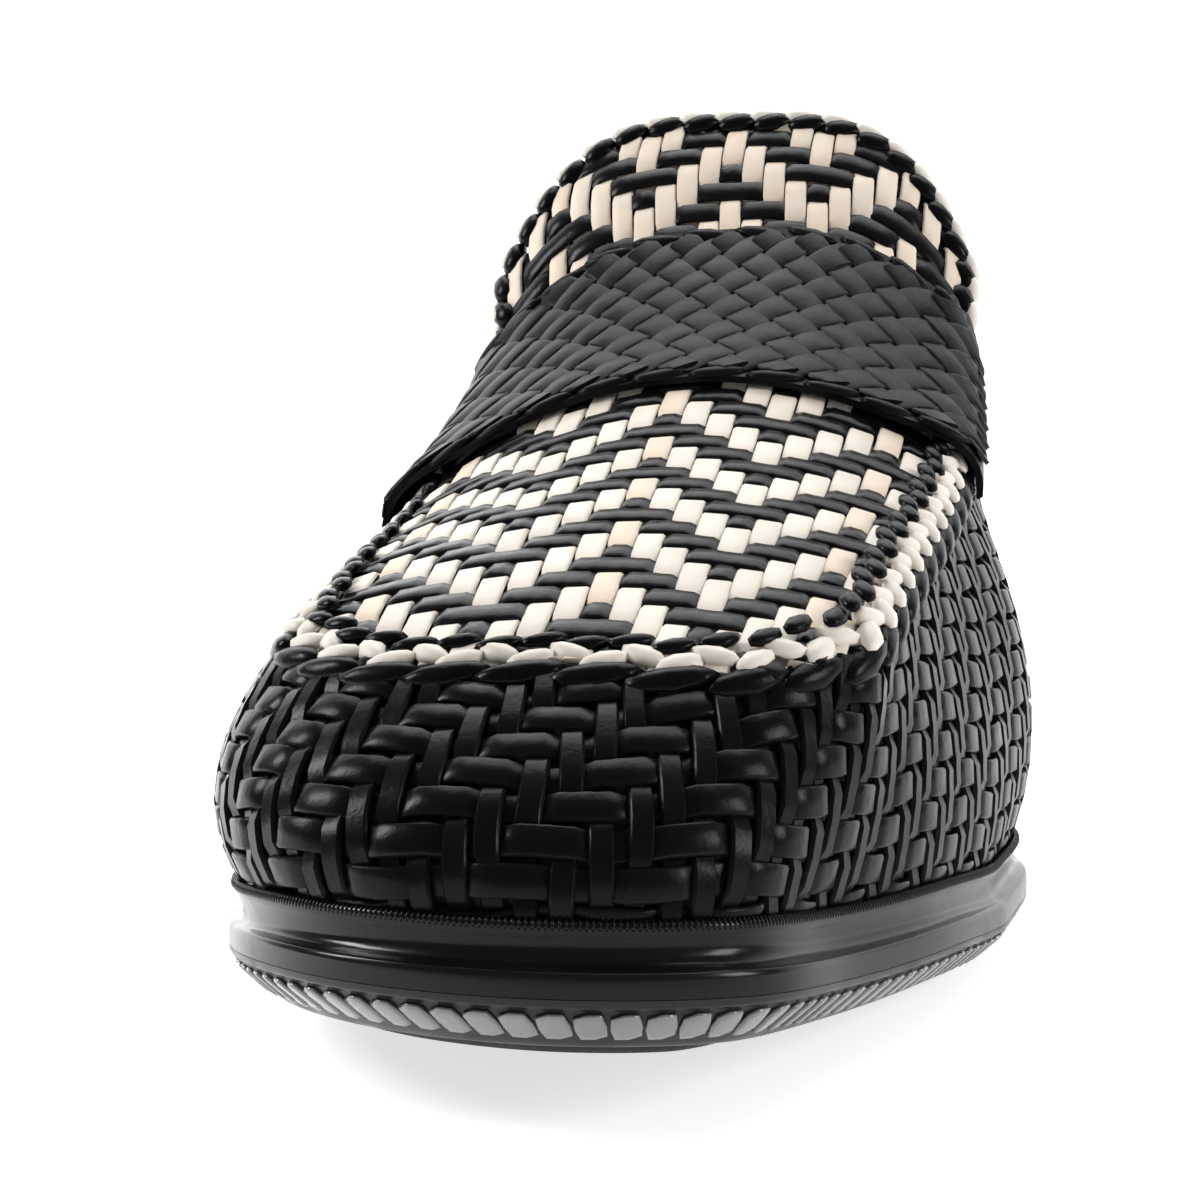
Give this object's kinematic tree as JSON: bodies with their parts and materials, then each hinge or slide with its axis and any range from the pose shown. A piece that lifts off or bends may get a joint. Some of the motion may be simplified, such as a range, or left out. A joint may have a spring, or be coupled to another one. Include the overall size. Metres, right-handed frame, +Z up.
{
  "type": "woven leather loafer",
  "caption": "Right loafer with a hollow plaited leather upper, zigzag apron and tongue, bias-plaited saddle strap, storm welt, ribbed sole edge and low heel.",
  "frame": {"origin": "on the floor under the middle of the sole's bounding box", "axes": "+Z up, toe towards -Y, heel towards +Y, inner (medial) side of the foot towards +X"},
  "size_m": [0.0942, 0.275, 0.1088],
  "materials": {
    "woven_leather": "satin black strips",
    "ivory_leather": "matt ivory strips",
    "strap_leather": "smooth satin black",
    "insole_leather": "smooth matt",
    "welt_leather": "polished black",
    "outsole": "waxed black",
    "tread_rubber": "fine textured matt"
  },
  "bodies": {
    "root": {"upper": "woven_leather", "saddle_strap": "strap_leather", "insole": "insole_leather", "welt": "welt_leather", "heel_rand": "welt_leather", "outsole": "outsole", "forefoot_tread": "tread_rubber", "heel_block": "outsole", "lift_front": "outsole", "lift_tip": "tread_rubber"}
  },
  "joints": []
}
